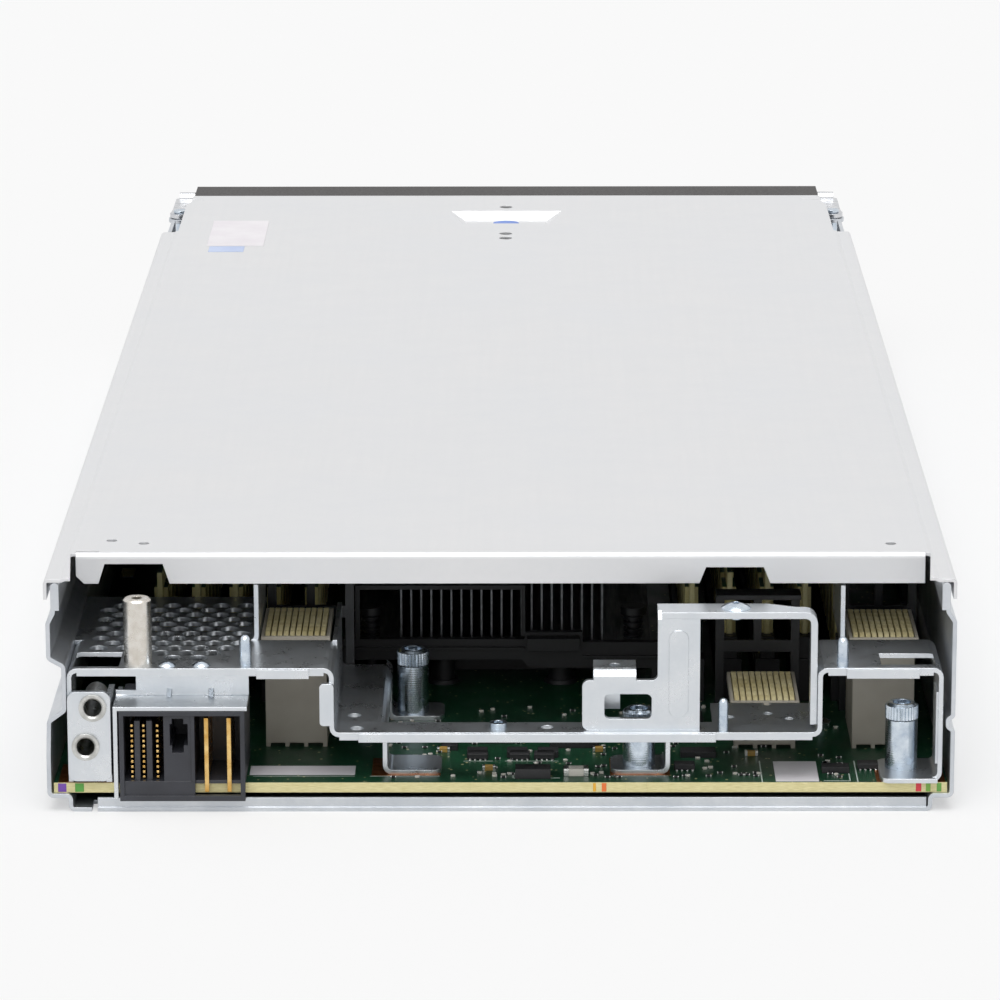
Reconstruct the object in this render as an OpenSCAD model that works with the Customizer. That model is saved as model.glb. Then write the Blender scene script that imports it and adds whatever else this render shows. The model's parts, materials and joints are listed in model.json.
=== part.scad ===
// Half-wide blade server. +X right, +Y towards the front bezel, +Z up.
// The origin is under the middle of the body, on the plane that it rests on.
// Depths in the modules run from the rear end (0) to the front bezel (body_l).

/* [Body] */
// Width over the lower side walls
body_w = 217; // [213:1:225]
// Length from the power connector to the bezel
body_l = 493; // [490:1:520]
// Height over the cover
body_h = 58; // [57:0.5:62]

/* [Sheet metal] */
// Thickness of the tray's sheet
tray_t = 1.0; // [0.8:0.1:1.2]
// Height of the side ledges' undersides above the base
ledge_h = 3.4; // [3:0.2:4]
// Width of the side ledges
ledge_w = 5.1; // [4.5:0.1:6]
// Height of the tray's rear lip
lip_h = 3.3; // [2.5:0.1:3.6]
// Thickness of the cover's sheet
cover_t = 0.8; // [0.6:0.1:1]
// How far the cover's side strips lie below its top
joggle = 0.4; // [0.2:0.1:0.6]
// Depth of the cover's rear flange
rear_flange_h = 7.6; // [6:0.2:8]
// Depth of the cover's side flanges
side_flange_h = 5.3; // [4:0.1:6]
// Distance from the rear end to the cover's rear bend
cover_setback = 23.7; // [18:0.5:26]
// Thickness of the rear bracket's sheet
bracket_t = 1.1; // [1:0.1:1.5]
// Depth of the rear bracket's turned-down front edges
bracket_lip = 1.9; // [1.6:0.1:2.4]
// Thickness of the strap bracket's sheet
strap_t = 1.6; // [1.2:0.1:2]

/* [Board] */
// Thickness of the system board
board_t = 2.5; // [1.6:0.1:3]
// Gap between the board's edges and the side walls
board_gap = 0.5; // [0.3:0.1:1]
// Distance from the rear end to the board's edge
board_setback = 2.1; // [2:0.1:3]

/* [Rear bracket] */
// Height of the high shelves above the board
high_shelf = 28.3; // [27:0.1:29.5]
// Height of the low shelf above the board
low_shelf = 12.3; // [11.5:0.1:13]
// Height of the strap's top above the board
strap_rise = 41.5; // [39:0.5:42]
// Diameter of the holes in the perforated shelf
vent_d = 4.4; // [3:0.1:4.6]
// Spacing of the holes across the shelf
vent_pitch = 6.15; // [5.9:0.05:8]
// Spacing of the rows of holes
vent_row = 4.25; // [4:0.05:6]
// Height of the tall standoff
standoff_h = 16.3; // [14:0.1:18]
// Diameter of the tall standoff
standoff_d = 6.7; // [5:0.1:7]
// Length of the locating pins
pin_h = 7.2; // [5:0.1:9]
// Diameter of the locating pins
pin_d = 2.8; // [2:0.1:3]

/* [Thumbscrews] */
// Height of the outer thumbscrews' heads above their feet
thumb_h = 16.2; // [14:0.1:18]
// Height of the middle thumbscrew's head above its foot
thumb_middle_h = 14; // [13.4:0.1:15]
// Diameter of the knurled heads
thumb_d = 8; // [7:0.1:8.4]
// Diameter of the screws
thumb_shaft_d = 3.2; // [2.6:0.1:3.6]

/* [Guide sockets] */
// Bore of the guide bushings
bushing_bore = 4.3; // [3.5:0.1:4.6]
// Outside of the guide bushings
bushing_d = 5.5; // [5.2:0.1:5.6]
// Length of the guide bushings
bushing_l = 13; // [10:0.5:16]

/* [Connectors] */
// Width of the power connector
power_w = 30; // [29:0.1:30.4]
// Height of the power connector's roof above the board
power_h = 18.3; // [17.5:0.1:19]
// Depth of the power connector
power_l = 24; // [20:0.5:28]
// Height of the tall mezzanine connectors above the board
io_high = 28; // [26:0.1:29]
// Height of the low mezzanine connector above the board
io_low = 12; // [11:0.1:13]
// Width of the mezzanine connectors' bodies
io_w = 15; // [13:0.1:15.2]
// Length of the mezzanine connectors
io_l = 26; // [22:0.5:28]

/* [Cooling] */
// Spacing of the heat sink fins
fin_pitch = 2.55; // [2.2:0.05:3]
// Thickness of the fins
fin_t = 0.5; // [0.3:0.1:0.8]
// Number of fins
fin_n = 21; // [15:1:22]
// Length of the heat sinks
sink_l = 90; // [80:1:94]
// Height of the heat sinks' posts
post_h = 8.6; // [8:0.1:10]

/* [Memory] */
// Spacing of the memory sockets
memory_pitch = 9.5; // [9:0.1:10]
// Number of sockets in a bank
memory_n = 5; // [3:1:5]
// Height of the memory modules
module_h = 30; // [18:0.5:31]

/* [Drives] */
// Width of the drive bays
bay_w = 76; // [74:0.5:77]
// Height of a drive
drive_h = 14.8; // [7:0.1:15]

/* [Front] */
// Depth of the bezel
bezel_l = 17; // [16:0.5:19]
// Width of the control panel
panel_w = 12.5; // [11:0.5:14]
// Width of a release lever's grip
grip_w = 22; // [18:0.5:24]
// Spacing of the intake grille's holes
grille_pitch = 4.2; // [4:0.1:6]
// Width of the grille's holes across the corners
grille_d = 4; // [3:0.1:4.2]

/* [Clearances] */
// Gap between the cover and what it rests on
seat_gap = 0.1; // [0.05:0.05:0.2]
// Radial clearance of turning fits
running_gap = 0.05; // [0.03:0.01:0.08]
// Clearance of sliding fits
slide_gap = 0.3; // [0.2:0.05:0.4]

/* [Hidden] */
$fn = 32;

half_w = body_w / 2;
board_z = ledge_h + tray_t;
board_top = board_z + board_t;
high_z = board_top + high_shelf;
low_z = board_top + low_shelf;
strap_z = board_top + strap_rise;
foot_z = board_top + bracket_t;
strip_z = body_h - joggle;
cover_low = body_h - cover_t;
hem_z = strip_z - cover_t - seat_gap;
bezel_y = body_l - bezel_l;
pocket_y = body_l - 73;
bend_r = 1.2;
eps = 0.01;

// Bracket stations across the body
leg_left = -half_w + 5.1;
leg_right = half_w - 2.8;
step_left = -half_w + 68.8;
step_right = half_w - 32.7;
strap_left = half_w - 88.9;
strap_tall = half_w - 70.9;
strap_mid = half_w - 60.8;
arm_x = step_left + 12.5;

// Mezzanine connectors: centre across, rear face
io_left = [-half_w + 58.5, 31.5];
io_middle = [half_w - 44, 29.7];
io_right = [half_w - 15.2, 29.7];

// Thumbscrews on the bracket's feet
thumb_left = [arm_x + 5.2, 58.6];
thumb_middle = [half_w - 75.1, 13.9];
thumb_right = [half_w - 12, 11.5];
sleeve_d = thumb_d - 0.2;

// Fixings of the guide plate and the power connector, from the left wall
guide_x = [-half_w + 5.2, -half_w + 15.5];
bushing_at = [[-half_w + 11.3, board_top + 19.1], [-half_w + 9.45, board_top + 9.4]];
power_x = -half_w + 17.5;
power_top = board_top + power_h;

// Memory banks and heat sinks share the board's length up to the drives' backplane
bank_gap = 4.5;
bank_rear = 70.5;
bank_l = (bezel_y - 117 - bank_rear - bank_gap) / 2;
bank_front = bank_rear + bank_l + bank_gap;
memory_x = 48;
sink_rear = 85;
sink_front = bank_front + 18;
sink_z = board_top + post_h;
fin_top = body_h - 8.5;

// Drive cage and trays
cage_x = -half_w + 36;
cage_y = bezel_y - 110;
cage_z = 4;
bay_h = (body_h - 17) / 2;
bay_pitch = bay_h + 1;
tray_gap = slide_gap + 0.1;

// Release levers
cheek_x = half_w - 8.5;
pivot = [half_w - 3.3, body_l - 29];
lever_low = 6.5;
lever_high = body_h - 3.3;
flange_t = 1.3;
lever_reach = body_l - 0.5;
lever_pin_d = 3.2;

module placed() {
    translate([0, -body_l / 2, 0]) children();
}

module slab(x0, x1, y0, y1, z0, z1) {
    translate([x0, y0, z0]) cube([x1 - x0, y1 - y0, z1 - z0]);
}

// Upright pillar, and the same shape lying along the body
module post(at, d, z0, z1) {
    translate([at.x, at.y, z0]) cylinder(d = d, h = z1 - z0);
}

module rod_y(x, z, d, y0, y1) {
    translate([x, y0, z]) rotate([-90, 0, 0]) cylinder(d = d, h = y1 - y0);
}

// Sheet-metal sections: a path along one face, thickened to its left
function along(a, b) = (b - a) / norm(b - a);
function left_of(u) = [-u.y, u.x];
function turned(v, a) = [v.x * cos(a) - v.y * sin(a), v.x * sin(a) + v.y * cos(a)];
function bend_arc(a, b, c, t, r_in) =
    let (u = along(a, b), v = along(b, c), side = sign(cross(u, v)), turn = acos(u * v))
    let (r = side > 0 ? r_in + t : r_in, back = r * tan(turn / 2))
    let (centre = b - u * back + side * r * left_of(u))
    [for (i = [0:4]) centre - side * r * turned(left_of(u), side * turn * i / 4)];
function bent(p, t, r_in) = [p[0],
    for (i = [1:len(p) - 2]) each bend_arc(p[i - 1], p[i], p[i + 1], t, r_in), p[len(p) - 1]];
function mitred(a, b, c, t) =
    let (m = left_of(along(a, b)), n = left_of(along(b, c))) b + (m + n) * t / (1 + m * n);
function offset_path(p, t) = let (last = len(p) - 1) [p[0] + t * left_of(along(p[0], p[1])),
    for (i = [1:last - 1]) mitred(p[i - 1], p[i], p[i + 1], t),
    p[last] + t * left_of(along(p[last - 1], p[last]))];
function section(p, t, r_in) = let (face = bent(p, t, r_in), back = offset_path(face, t))
    concat(face, [for (i = [len(back) - 1:-1:0]) back[i]]);

// Section drawn across the body (x, z), running from y0 to y1
module sheet_y(p, t, y0, y1, r_in = bend_r) {
    translate([0, y1, 0]) rotate([90, 0, 0]) linear_extrude(y1 - y0) polygon(section(p, t, r_in));
}

// Section drawn along the body (y, z), running from x0 to x1
module sheet_x(p, t, x0, x1, r_in = bend_r) {
    translate([x0, 0, 0]) rotate([90, 0, 90]) linear_extrude(x1 - x0) polygon(section(p, t, r_in));
}

// Flat shape drawn from the rear (x, z), from y0 to y1
module plate_y(y0, y1) {
    translate([0, y1, 0]) rotate([90, 0, 0]) linear_extrude(y1 - y0) children();
}

// Rectangle with rounded corners
module rounded_box(x0, x1, y0, y1, r) {
    translate([x0 + r, y0]) square([x1 - x0 - 2 * r, y1 - y0]);
    translate([x0, y0 + r]) square([x1 - x0, y1 - y0 - 2 * r]);
    for (x = [x0 + r, x1 - r], y = [y0 + r, y1 - r]) translate([x, y]) circle(r);
}

// ---- tray and cover ----
left_wall = [[-half_w + 1.8, hem_z - tray_t], [-half_w + 1.8, hem_z - 7.3], [-half_w + 0.5, hem_z - 9.9],
    [-half_w + 0.5, 37.8], [-half_w + 4, 35.8], [-half_w + 4, 25.4], [-half_w + 0.3, 22.7],
    [-half_w, 14], [-half_w, ledge_h], [-half_w + ledge_w, ledge_h], [-half_w + ledge_w, 0]];
right_wall = [[half_w - ledge_w, 0], [half_w - ledge_w, ledge_h], [half_w, ledge_h], [half_w, 20.4],
    [half_w - 1.2, 21.2], [half_w - 1.2, 22.6], [half_w, 23.4], [half_w, hem_z - 9.5],
    [half_w - 1.6, hem_z - 7.1], [half_w - 1.6, hem_z - tray_t]];
standoffs = [[-half_w + 16.5, 40], [arm_x - 6.3, 45], [half_w - 67, 66], [half_w - 29.5, 48],
    [-92, bank_front - 3], [-42.4, bank_front - 3], [42.4, bank_front - 3], [92, bank_front - 3],
    [-92, cage_y - 14], [-36, cage_y - 21], [36, cage_y - 2], [92, cage_y - 2], [cage_x + bay_w + 8.5, body_l - 40],
    [half_w - 20.5, body_l - 92]];

// Folded edge along the top of a side wall; x is its outer face
hem_l = 6.8;
module hem(x, side) {
    plate_y(1, pocket_y) {
        translate([x + side * tray_t, hem_z - tray_t]) circle(tray_t);
        translate([min(x + side * tray_t, x + side * 2 * tray_t), hem_z - hem_l])
            square([tray_t, hem_l - tray_t]);
    }
}

module chassis_tray() {
    color([0.78, 0.8, 0.83]) placed() {
        difference() {
            union() {
                sheet_y(concat(left_wall, right_wall), tray_t, 1, bezel_y, 0.5);
                hem(-half_w + 1.8, 1);
                hem(half_w - 1.6, -1);
                slab(-half_w + 12, half_w - 6.5, 1.5, 1.5 + tray_t, 0, lip_h);
                for (p = standoffs) post(p, 5.2, tray_t / 2, board_z);
            }
            for (side = [-1, 1])
                slab(min(side * (half_w - 6.6), side * (half_w + 1)), max(side * (half_w - 6.6),
                    side * (half_w + 1)), pocket_y, body_l, -1, body_h);
            slab(-half_w + 10.6, -half_w + 12, 0, 7, -1, lip_h + 1);
            for (p = standoffs) post(p, 2.8, tray_t, board_z + 1);
        }
    }
}

// Finger recess: a dish with sloped walls, wider towards the front
recess_y = [body_l - 63.5, body_l - 43];
recess_depth = 2.6;
recess_slope = 57;
recess_half = 13.9;
recess_taper = atan(3.8 / (recess_y[1] - recess_y[0]));

// Everything beyond a sloped wall that starts at a point of the rim and faces a direction
module beyond(at, direction) {
    translate([at.x, at.y, body_h]) rotate([0, 0, direction]) rotate([0, recess_slope, 0])
        translate([0, -40, -40]) cube([80, 80, 80]);
}

module dish(grow, depth) {
    difference() {
        slab(-24, 24, recess_y[0] - 3, recess_y[1] + 3, body_h - depth, body_h);
        beyond([0, recess_y[0] - grow], -90);
        beyond([0, recess_y[1] + grow], 90);
        beyond([recess_half + grow, recess_y[0]], -recess_taper);
        beyond([-recess_half - grow, recess_y[0]], 180 + recess_taper);
    }
}

// Clearance notch in the cover's rear flange
module flange_notch(x, w, h) {
    plate_y(cover_setback - 1, cover_setback + 3)
        translate([x, body_h - rear_flange_h])
            polygon([[-w / 2, -1], [-w / 2, 0], [-w / 2 + 1.6, h], [w / 2 - 1.6, h], [w / 2, 0], [w / 2, -1]]);
}

// The cover narrows beside the release levers
module pocket_cut() {
    translate([0, 0, body_h - 9]) linear_extrude(10) polygon([[half_w + 1, pocket_y - 2],
        [half_w - 5.5, pocket_y - 2], [half_w - 5.5, body_l - 33], [half_w - 6.8, body_l - 27],
        [half_w - 6.8, body_l], [half_w + 1, body_l]]);
}

module top_cover() {
    bend_run = 4;
    crease = half_w - 5.2;
    edge = half_w - 0.15;
    skirt = [[edge, body_h - side_flange_h], [edge, strip_z], [crease + 1, strip_z],
        [crease, body_h], [-crease, body_h], [-crease - 1, strip_z], [-edge, strip_z],
        [-edge, body_h - side_flange_h]];
    color([0.9, 0.9, 0.91]) placed() difference() {
        union() {
            sheet_y(skirt, cover_t, 1, bezel_y - 0.3, 0.3);
            dish(cover_t, recess_depth + cover_t);
        }
        // Tabs: the main panel stops at the rear bend
        translate([0, 0, body_h - 5]) linear_extrude(6) polygon([[-crease - 0.4, cover_setback],
            [-crease + 1.5, 0], [crease - 1.5, 0], [crease + 0.4, cover_setback]]);
        slab(-half_w + 6, half_w - 6, cover_setback - 1, cover_setback + bend_run - 0.1, body_h - 2, body_h + 1);
        pocket_cut();
        mirror([1, 0, 0]) pocket_cut();
        dish(0, recess_depth);
        for (p = [[-half_w + 13.9, 35.8], [-half_w + 21.9, 33.1], [half_w - 13.8, 32.4]])
            post(p, 2.6, body_h - 4, body_h + 1);
        for (y = [36.6, 79.7, 86.8]) post([0, body_l - y], 4, body_h - 4, body_h + 1);
        // Relief slots behind the bezel
        slab(half_w - 13.5, half_w - 5, body_l - 24, body_l - 23.3, body_h - 4, body_h + 1);
        slab(-half_w + 5, -half_w + 10.5, body_l - 24, body_l - 23.3, body_h - 4, body_h + 1);
    }
    // Rear bend and flange
    color([0.8, 0.82, 0.85]) placed() difference() {
        sheet_x([[cover_setback + bend_run, body_h], [cover_setback, body_h], [cover_setback, body_h - rear_flange_h]],
            cover_t, -half_w + 6, half_w - 6, 0.6);
        slab(-half_w + 5, -half_w + 11.6, cover_setback + 1.5, cover_setback + 2.3, body_h - 4, body_h + 1);
        flange_notch(-half_w + 20, 17.2, 4.9);
        flange_notch(half_w - 51.9, 17.1, 4);
        plate_y(cover_setback - 1, cover_setback + 3)
            polygon([[-half_w + 5.9, body_h - rear_flange_h - 1], [-half_w + 5.9, body_h - rear_flange_h + 2],
                [-half_w + 8.9, body_h - rear_flange_h - 1]]);
    }
}

module touch_point() {
    color([0.25, 0.45, 0.85]) placed()
        post([0, recess_y[0] + 12.2], 8.2, body_h - recess_depth, body_h - recess_depth + 0.3);
}

// ---- system board ----
module board_hole(p, d) {
    post(p, d, board_z - 1, board_top + 1);
}

module system_board() {
    edge = half_w - tray_t - board_gap;
    color([0.1, 0.35, 0.22]) placed() difference() {
        translate([0, 0, board_z]) linear_extrude(board_t) polygon([[-edge, board_setback],
            [edge, board_setback], [edge, pocket_y - 4], [cheek_x - 10, pocket_y - 4],
            [cheek_x - 10, bezel_y - 3], [bay_x1 + 3, bezel_y - 3], [bay_x1 + 3, cage_y - 3], [-edge, cage_y - 3]]);
        for (p = standoffs) board_hole(p, 3.2);
        for (p = [thumb_left, thumb_middle, thumb_right]) board_hole(p, thumb_shaft_d + 1.2);
        slab(-half_w + 3.2, -half_w + 7, 190, 200, board_z - 1, board_top + 1);
        slab(half_w - 7, half_w - 3.2, 190, 200, board_z - 1, board_top + 1);
    }
}

module board_screws() {
    color([0.75, 0.76, 0.78]) placed() for (p = standoffs) difference() {
        union() {
            post(p, 2.6, tray_t + 0.6, board_top + 1);
            post(p, 5.4, board_top, board_top + 1.7);
        }
        post(p, 1.8, board_top + 0.7, board_top + 3, $fn = 6);
    }
}

// ---- rear bracket ----
bracket_line = [[leg_right - 14.7, board_top], [leg_right, board_top], [leg_right, high_z],
    [step_right, high_z], [step_right, low_z], [step_left, low_z], [step_left, high_z],
    [leg_left, high_z], [leg_left, board_top]];
arm_line = [[arm_x + 13, foot_z], [arm_x, foot_z], [arm_x, low_z], [step_left, low_z],
    [step_left, high_z - bracket_t - bend_r]];
middle_foot = [[leg_right - 79.1, board_top], [leg_right - 64.9, board_top], [leg_right - 64.9, low_z],
    [leg_right - 69, low_z]];
upright_h = 14;
shelf_back = 62;
perforated = [-half_w + 10.6, step_left - 23.5];

// A hole of the perforated shelf is kept where it clears the slot, the standoff and the shelf's edges
function vent_clear(p) = p.x > perforated[0] && p.x < min(perforated[1], -half_w + 31.5 + 0.6 * p.y)
    && !(p.y < 20 && p.x < -half_w + 20.5) && norm(p - [-half_w + 21.9, 6.9]) > vent_d / 2 + 4.4;
vents = [for (k = [0:floor((shelf_back - 12) / vent_row)], i = [0:12])
    let (p = [-half_w + 11.4 + vent_pitch * (i + (k % 2) / 2), 11.8 + vent_row * k]) if (vent_clear(p)) p];

// Rounds a foot's corner; dx and dy point into the foot
module foot_corner(x, y, dx, dy, r = 2.5) {
    translate([0, 0, board_top - 1]) linear_extrude(bracket_t + 2) difference() {
        translate([x + dx * (r / 2 - 0.05), y + dy * (r / 2 - 0.05)]) square(r + 0.1, center = true);
        translate([x + dx * r, y + dy * r]) circle(r);
    }
}

module rear_bracket() {
    color([0.75, 0.78, 0.82]) placed() difference() {
        union() {
            difference() {
                sheet_y(bracket_line, bracket_t, 2.5, 27.3);
                // Behind the narrow front strip only the arm and the right shelf go further back
                slab(step_left + 1, half_w - 57.5, 11.2, 30, board_top, high_z - 6);
                slab(leg_right - 3, leg_right + 1, 18, 30, board_top - 1, high_z - 5);
                slab(leg_right - 16, leg_right - 1, 18, 30, board_top - 1, foot_z + 1);
                slab(leg_left - 1, leg_left + 3, 14, 30, board_top - 1, high_z - 5);
            }
            // Foot under the right leg reaches in front of the board's screw
            slab(leg_right - 14.7, leg_right - bracket_t, 1.1, 2.5 + eps, board_top, foot_z);
            // Arm towards the rear foot, with the step wall above it
            difference() {
                sheet_y(arm_line, bracket_t, 53.7, 66);
                slab(step_left - 3, arm_x - 1.6, 61.6, 67, low_z - 4, high_z);
            }
            sheet_y(arm_line, bracket_t, 8.5, 21);
            difference() {
                sheet_y(arm_line, bracket_t, 21 - eps, 53.7 + eps);
                slab(arm_x - 3, arm_x + 20, 20, 54.5, board_top - 1, low_z - 4);
            }
            slab(step_left - bracket_t, step_left, 27.3 - eps, shelf_back, high_z - 4, high_z);
            sheet_y(middle_foot, bracket_t, 8.5, 21);
            // Perforated shelf behind the front strip
            slab(leg_left, perforated[1] + 4.5, 27.3 - eps, shelf_back + 5, high_z - bracket_t, high_z);
            // Upright flanges beside the tall connectors
            sheet_y([[perforated[1] - 3, high_z - bracket_t], [perforated[1] + 4.5, high_z - bracket_t],
                [perforated[1] + 4.5, high_z + upright_h]], bracket_t, 27.3, shelf_back);
            slab(step_right + 6.6, step_right + 6.6 + bracket_t, 26, shelf_back - 4, high_z - bracket_t,
                high_z + upright_h);
            // Turned-down front edges, and the longer lips in front of them
            slab(leg_left + 2.4, step_left - 2.4, 2.5, 2.5 + bracket_t, high_z - bracket_lip, high_z);
            slab(step_left + 1.2, step_right - 1.2, 2.5, 2.5 + bracket_t, low_z - bracket_lip, low_z);
            slab(step_right + 2.4, leg_right - 2.4, 2.5, 2.5 + bracket_t, high_z - bracket_lip, high_z);
            slab(step_left - 18.4, step_left - 5.9, 1.7, 2.5 + eps, high_z - 2.4, high_z - 0.1);
            slab(step_left + 5.8, half_w - 57, 1.7, 2.5 + eps, low_z - 2.2, low_z - 0.1);
            slab(leg_right - 23.1, leg_right - 5.8, 1.7, 2.5 + eps, high_z - 2.4, high_z - 0.1);
            // Tab turned off the left step wall, rounded at its corners
            plate_y(1, 2.5 + eps) rounded_box(step_left - 3.4, step_left, high_z - 13.9, high_z - 3.5, 0.9);
            // Stiffening strip pressed out of the right leg
            slab(leg_right - bracket_t - 0.5, leg_right - bracket_t + eps, 3.5, 12, board_top + 4.2,
                board_top + 22);
        }
        slab(-half_w + 6.5, -half_w + 17.5, 4.4, 16.6, high_z - 4, high_z + 4);
        slab(half_w - 17.5, half_w - 4.5, 5.5, 15, high_z - 4, high_z + 4);
        for (p = vents) post(p, vent_d, high_z - 3, high_z + 3);
        post(thumb_middle, thumb_d + 1, low_z - 6, low_z + 3);
        for (p = [thumb_left, thumb_middle, thumb_right])
            post(p, thumb_shaft_d + 0.8, board_top - 1, foot_z + 1);
        for (p = [[-53.2, 15.5], [-43.8, 26.4], [-43.8, 18.4], [-38.9, 14.2]])
            post([half_w + p.x, p.y], 2.2, low_z - 3, low_z + 3);
        post([strap_left - 8.4, 7.2], 3, low_z - 3, low_z + 3);
        for (p = [[4.4, 17], [5.3, 6.2]]) post([step_left + p.x, p.y], 3.2, low_z - 3, low_z + 3);
        for (y = [8.5, 53.7]) foot_corner(arm_x + 13, y, -1, 1);
        for (y = [21, 66]) foot_corner(arm_x + 13, y, -1, -1);
        foot_corner(leg_right - 79.1, 8.5, 1, 1);
        foot_corner(leg_right - 79.1, 21, 1, -1);
        foot_corner(leg_right - 14.7, 1.1, 1, 1);
        foot_corner(leg_right - 14.7, 18, 1, -1);
    }
}

// ---- strap bracket ----
strap_y = [4.5, 12.6];
strap_end = step_right - 0.1;
module strap_bracket() {
    y0 = strap_y[0];
    y1 = y0 + strap_t;
    shoulder = low_z + 12.4;
    color([0.92, 0.93, 0.93]) placed() {
        difference() {
            union() {
                // Front plate with its shoulder and the tall part
                plate_y(y0, y1) {
                    rounded_box(strap_left, strap_tall + 3, low_z, shoulder, 1.6);
                    translate([strap_tall, low_z]) square([strap_mid - strap_tall, 18]);
                    translate([strap_left + 2.7, low_z + 2]) square([10.2, shoulder - low_z - 1]);
                    difference() {
                        translate([strap_tall - 1.4, shoulder - eps]) square(1.4 + eps);
                        translate([strap_tall - 1.4, shoulder + 1.4]) circle(1.4);
                    }
                }
                sheet_x([[strap_y[1], strap_z], [y0, strap_z], [y0, low_z + 15]], strap_t, strap_tall, strap_mid);
                // Tab over the shoulder, turned down behind the window
                sheet_x([[y0 + 9.5, shoulder + 2.4], [y0, shoulder + 2.4], [y0, shoulder - 2]], strap_t,
                    strap_left + 2.7, strap_left + 12.9);
                sheet_x([[y0 + 9.5, low_z + 3], [y0 + 9.5, shoulder + 2.4], [y0 + 4, shoulder + 2.4]], strap_t,
                    strap_left + 2.7, strap_left + 9.2);
                // Strap across and down the other side
                sheet_y([[strap_end, low_z + 1.4], [strap_end, strap_z], [strap_tall + 1, strap_z]], strap_t, y0, y0 + 5);
                translate([0, 0, strap_z - strap_t]) linear_extrude(strap_t)
                    polygon([[strap_tall, y0 + 2], [strap_end - 5, y0 + 2], [strap_end - 5, y0 + 5],
                        [strap_end - 12, strap_y[1]], [strap_tall, strap_y[1]]]);
                // Pressed oval rib
                plate_y(y0 - 0.4, y0 + eps) rounded_box(strap_tall + 2.7, strap_mid - 2.8, low_z + 3.2,
                    strap_z - 4.4, 2.2);
            }
            plate_y(y0 - 1, y1 + 1) rounded_box(strap_left + 5.3, strap_left + 16.6, low_z + 2.8, low_z + 9, 1.3);
            post([strap_left + 7.8, y0 + 5], 3, shoulder - 1, shoulder + 5);
            post([half_w - 52.2, 8.6], 3.1, strap_z - 4, strap_z + 2);
        }
    }
}

module bracket_fasteners() {
    color([0.88, 0.89, 0.9]) placed() {
        // Rivets of the perforated shelf
        for (x = [28.9, 37.1]) intersection() {
            translate([x - half_w, 5.4, high_z - 1.9]) sphere(2.9);
            slab(-half_w, 0, 0, 12, high_z, high_z + 3);
        }
        // Collar on the low shelf
        difference() {
            post([strap_left - 20.1, 7.2], 4.2, low_z, low_z + 1.3);
            post([strap_left - 20.1, 7.2], 2.4, low_z + 0.4, low_z + 2);
        }
        // Pan-head screw on the strap
        difference() {
            union() {
                post([half_w - 52.2, 8.6], 2.8, strap_z - strap_t - 1, strap_z + 1);
                intersection() {
                    translate([half_w - 52.2, 8.6, strap_z - 4.3]) sphere(5.7);
                    post([half_w - 52.2, 8.6], 7.2, strap_z, strap_z + 3);
                }
            }
            post([half_w - 52.2, 8.6], 2, strap_z + 0.4, strap_z + 3, $fn = 6);
        }
    }
}

module tall_standoff() {
    at = [-half_w + 21.9, 6.9];
    color([0.85, 0.83, 0.78]) placed() difference() {
        union() {
            post(at, standoff_d, high_z, high_z + standoff_h - 0.5);
            translate([at.x, at.y, high_z + standoff_h - 0.5])
                cylinder(d1 = standoff_d, d2 = standoff_d - 1, h = 0.5);
        }
        post(at, 2.5, high_z + 4, high_z + standoff_h + 1);
    }
}

module round_pin(at, d, z, h) {
    post(at, d, z, z + h - d / 2);
    translate([at.x, at.y, z + h - d / 2]) intersection() {
        sphere(d = d);
        translate([-d, -d, 0]) cube([2 * d, 2 * d, d]);
    }
}

module locating_pins() {
    color([0.85, 0.88, 0.9]) placed() {
        round_pin([-half_w + 47.6, 6.4], pin_d, high_z, pin_h);
        round_pin([half_w - 55.2, 4], pin_d - 0.4, low_z, pin_h + 1);
        round_pin([half_w - 26.8, 4.4], pin_d, high_z, pin_h);
    }
}

// ---- thumbscrews ----
function star(n, r, depth) = [for (i = [0:2 * n - 1]) (r - (i % 2) * depth) * [cos(180 * i / n), sin(180 * i / n)]];

module thumbscrew(at, h) {
    top = foot_z + h;
    sleeve_top = top - 4;
    color([0.8, 0.84, 0.88]) placed() difference() {
        union() {
            post(at, thumb_shaft_d, board_z, sleeve_top + 1);
            translate([at.x, at.y, sleeve_top + 0.2]) linear_extrude(3.2) polygon(star(30, thumb_d / 2, 0.3));
            translate([at.x, at.y, sleeve_top + 3.4])
                cylinder(d1 = thumb_d - 0.8, d2 = thumb_d - 1.8, h = top - sleeve_top - 3.4);
        }
        post(at, 4.4, top - 1.2, top + 1);
        post(at, 2.6, top - 2.6, top + 1, $fn = 6);
    }
}

module thumbscrew_left() { thumbscrew(thumb_left, thumb_h); }
module thumbscrew_middle() { thumbscrew(thumb_middle, thumb_middle_h); }
module thumbscrew_right() { thumbscrew(thumb_right, thumb_h); }

module sleeve(at, h) {
    difference() {
        post(at, sleeve_d, foot_z, foot_z + h);
        post(at, thumb_shaft_d + 2 * running_gap, foot_z - 1, foot_z + h + 1);
    }
}

module thumbscrew_sleeves() {
    color([0.7, 0.76, 0.82]) placed() {
        sleeve(thumb_left, thumb_h - 4);
        sleeve(thumb_middle, thumb_middle_h - 4);
        sleeve(thumb_right, thumb_h - 4);
    }
}

// ---- guide sockets ----
module guide_socket_plate() {
    color([0.85, 0.87, 0.88]) placed() difference() {
        union() {
            plate_y(0.9, 2.4) rounded_box(guide_x[0], guide_x[1], board_top + 0.7, board_top + 22.9, 2);
            slab(guide_x[1] - 1.4, guide_x[1], 2.4 - eps, 16, board_top, board_top + 20.5);
            slab(guide_x[0] + 3, guide_x[1], 4, 16, board_top, board_top + 1.4);
        }
        for (b = bushing_at) rod_y(b.x, b.y, bushing_d, 0, 4);
    }
}

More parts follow.
